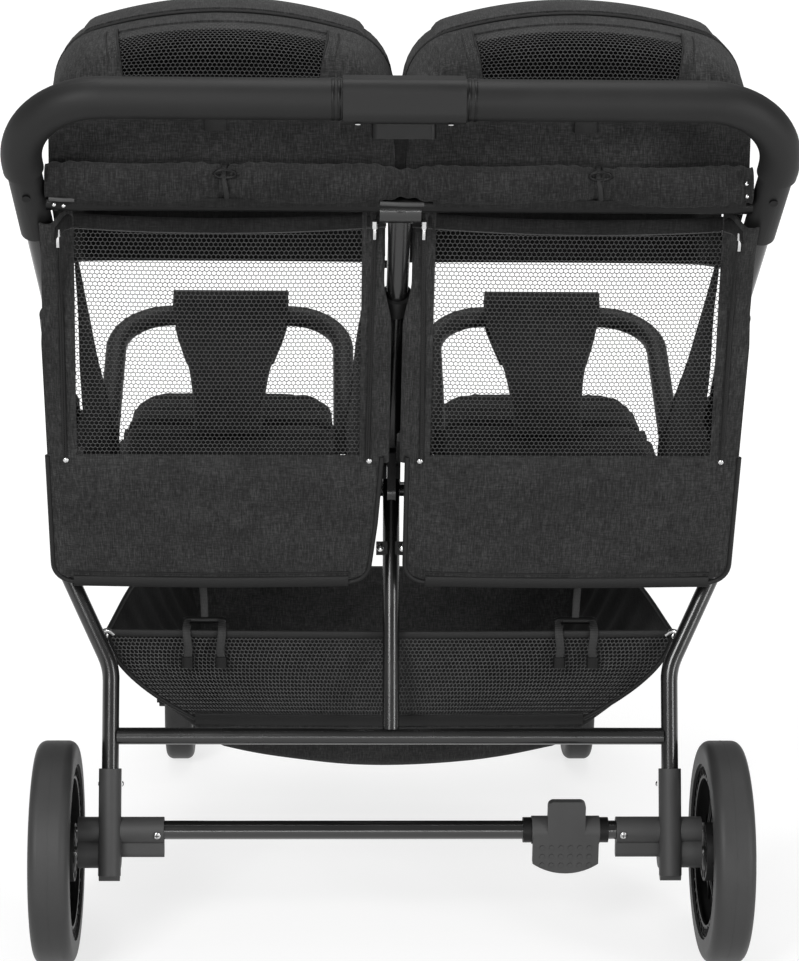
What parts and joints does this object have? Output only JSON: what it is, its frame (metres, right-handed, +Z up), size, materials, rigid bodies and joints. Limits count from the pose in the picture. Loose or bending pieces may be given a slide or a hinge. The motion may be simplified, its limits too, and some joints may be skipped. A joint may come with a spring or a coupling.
{
  "type": "side by side double stroller",
  "caption": "Folding stroller with side by side seats, reclining net backs, sliding canopies, bumper bars, foot brake, swivel front castors and a cloth basket below.",
  "frame": {"origin": "on the floor, under the middle of the whole stroller", "axes": "+Z up, +Y the way it travels, +X to the right of the person pushing it"},
  "size_m": [0.7586, 0.8042, 1.0096],
  "materials": {
    "frame_paint": "satin black paint on steel tube",
    "bright_steel": "plated steel",
    "grip_foam": "dense matt foam",
    "tyre_foam": "matt moulded foam tyre",
    "heather_cloth": "heathered charcoal woven cloth",
    "net_cloth": "black open net with cloth edging",
    "black_plastic": "fine grained moulded plastic"
  },
  "bodies": {
    "chassis": {"uprights": "frame_paint", "front_legs": "frame_paint", "side_hub_left": "black_plastic", "side_hub_right": "black_plastic", "hinge_pins": "bright_steel", "handle_bar": "frame_paint", "handle_grips": "grip_foam", "fold_housing": "black_plastic", "handle_sockets": "black_plastic", "upper_crossbar": "frame_paint", "center_tube": "frame_paint", "front_cross_tube": "frame_paint", "seat_tube": "frame_paint", "swivel_housings": "black_plastic", "seat_pan_left": "black_plastic", "seat_pan_right": "black_plastic", "seat_pad_left": "heather_cloth", "seat_pad_right": "heather_cloth", "side_wings": "net_cloth", "rolled_flap": "heather_cloth", "canopy_pivots": "black_plastic", "canopy_rear_left": "heather_cloth", "canopy_rear_right": "heather_cloth", "bumper_mounts": "black_plastic", "strap_fittings": "heather_cloth", "basket": "net_cloth"},
    "snap_button_left": {"snap_button_left": "bright_steel"},
    "seat_back_left": {"seat_back_left": "net_cloth"},
    "canopy_front_left": {"canopy_front_left": "heather_cloth"},
    "bumper_left": {"bumper_bar_left": "grip_foam", "crotch_panels_left": "net_cloth"},
    "calf_rest_left": {"calf_rest_left": "heather_cloth"},
    "brake_pin_left": {"brake_pin_left": "bright_steel"},
    "rear_wheel_left": {"rear_tyre_left": "tyre_foam", "rear_rim_left": "black_plastic"},
    "castor_left": {"front_fork_left": "black_plastic"},
    "front_wheel_left": {"front_tyre_left": "tyre_foam", "front_rim_left": "black_plastic"},
    "snap_button_right": {"snap_button_right": "bright_steel"},
    "seat_back_right": {"seat_back_right": "net_cloth"},
    "canopy_front_right": {"canopy_front_right": "heather_cloth"},
    "bumper_right": {"bumper_bar_right": "grip_foam", "crotch_panels_right": "net_cloth"},
    "calf_rest_right": {"calf_rest_right": "heather_cloth"},
    "brake_pin_right": {"brake_pin_right": "bright_steel"},
    "rear_wheel_right": {"rear_tyre_right": "tyre_foam", "rear_rim_right": "black_plastic"},
    "castor_right": {"front_fork_right": "black_plastic"},
    "front_wheel_right": {"front_tyre_right": "tyre_foam", "front_rim_right": "black_plastic"},
    "fold_trigger": {"fold_trigger": "black_plastic"},
    "brake_pedal": {"brake_pedal": "black_plastic"},
    "rear_frame": {"rear_leg_left": "frame_paint", "rear_leg_right": "frame_paint", "rear_cross_tube": "frame_paint", "center_post": "frame_paint", "rear_brackets": "black_plastic", "rear_axle": "frame_paint", "stub_axles": "bright_steel", "brake_collars": "black_plastic"}
  },
  "joints": [
    {"name": "rear_fold", "type": "hinge", "parent": "chassis", "child": "rear_frame", "pos_m": [0, -0.08709, 0.517], "axis": [1, 0, 0], "range_deg": [0, 48], "deforming": ["basket"]},
    {"name": "brake_pedal", "type": "hinge", "parent": "rear_frame", "child": "brake_pedal", "pos_m": [0.186, -0.22409, 0.142], "axis": [1, 0, 0], "range_deg": [0, 18]},
    {"name": "fold_trigger", "type": "slide", "parent": "chassis", "child": "fold_trigger", "axis": [0, 0, 1], "range_m": [0, 0.005], "stiffness_N_per_m": 400, "springref_m": -0.002},
    {"name": "rear_wheel_spin_left", "type": "hinge", "parent": "rear_frame", "child": "rear_wheel_left", "pos_m": [-0.3535, -0.22709, 0.118], "axis": [1, 0, 0], "continuous": true},
    {"name": "castor_swivel_left", "type": "hinge", "parent": "chassis", "child": "castor_left", "pos_m": [-0.248, 0.3591, 0.152], "axis": [0, 0, 1], "continuous": true},
    {"name": "front_wheel_spin_left", "type": "hinge", "parent": "castor_left", "child": "front_wheel_left", "pos_m": [-0.248, 0.3261, 0.076], "axis": [1, 0, 0], "continuous": true},
    {"name": "recline_left", "type": "hinge", "parent": "chassis", "child": "seat_back_left", "pos_m": [-0.178, -0.16832, 0.43586], "axis": [1, 0, 0], "range_deg": [0, 45]},
    {"name": "canopy_left", "type": "hinge", "parent": "chassis", "child": "canopy_front_left", "pos_m": [-0.172, -0.18385, 0.74757], "axis": [1, 0, 0], "range_deg": [0, 50]},
    {"name": "bumper_swing_left", "type": "hinge", "parent": "chassis", "child": "bumper_left", "pos_m": [-0.306, -0.02209, 0.508], "axis": [0, 0, 1], "range_deg": [0, 90]},
    {"name": "calf_rest_left", "type": "hinge", "parent": "chassis", "child": "calf_rest_left", "pos_m": [-0.178, 0.12742, 0.47298], "axis": [-1, 0, 0], "range_deg": [0, 60]},
    {"name": "snap_button_left", "type": "slide", "parent": "chassis", "child": "snap_button_left", "axis": [0, 0.8261, 0.5635], "range_m": [0, 0.003], "stiffness_N_per_m": 300, "springref_m": -0.002},
    {"name": "brake_pin_left", "type": "slide", "parent": "rear_frame", "child": "brake_pin_left", "axis": [-1, 0, 0], "range_m": [0, 0.01]},
    {"name": "rear_wheel_spin_right", "type": "hinge", "parent": "rear_frame", "child": "rear_wheel_right", "pos_m": [0.3535, -0.22709, 0.118], "axis": [1, 0, 0], "continuous": true},
    {"name": "castor_swivel_right", "type": "hinge", "parent": "chassis", "child": "castor_right", "pos_m": [0.248, 0.3591, 0.152], "axis": [0, 0, 1], "continuous": true},
    {"name": "front_wheel_spin_right", "type": "hinge", "parent": "castor_right", "child": "front_wheel_right", "pos_m": [0.248, 0.3261, 0.076], "axis": [1, 0, 0], "continuous": true},
    {"name": "recline_right", "type": "hinge", "parent": "chassis", "child": "seat_back_right", "pos_m": [0.178, -0.16832, 0.43586], "axis": [1, 0, 0], "range_deg": [0, 45]},
    {"name": "canopy_right", "type": "hinge", "parent": "chassis", "child": "canopy_front_right", "pos_m": [0.172, -0.18385, 0.74757], "axis": [1, 0, 0], "range_deg": [0, 50]},
    {"name": "bumper_swing_right", "type": "hinge", "parent": "chassis", "child": "bumper_right", "pos_m": [0.306, -0.02209, 0.508], "axis": [0, 0, -1], "range_deg": [0, 90]},
    {"name": "calf_rest_right", "type": "hinge", "parent": "chassis", "child": "calf_rest_right", "pos_m": [0.178, 0.12742, 0.47298], "axis": [-1, 0, 0], "range_deg": [0, 60]},
    {"name": "snap_button_right", "type": "slide", "parent": "chassis", "child": "snap_button_right", "axis": [0, 0.8261, 0.5635], "range_m": [0, 0.003], "stiffness_N_per_m": 300, "springref_m": -0.002},
    {"name": "brake_pin_right", "type": "slide", "parent": "rear_frame", "child": "brake_pin_right", "axis": [1, 0, 0], "range_m": [0, 0.01]}
  ],
  "couplings": [
    {"joint": "brake_pin_left", "follows": "brake_pedal", "m_per_rad": 0.028648},
    {"joint": "brake_pin_right", "follows": "brake_pedal", "m_per_rad": 0.028648}
  ]
}
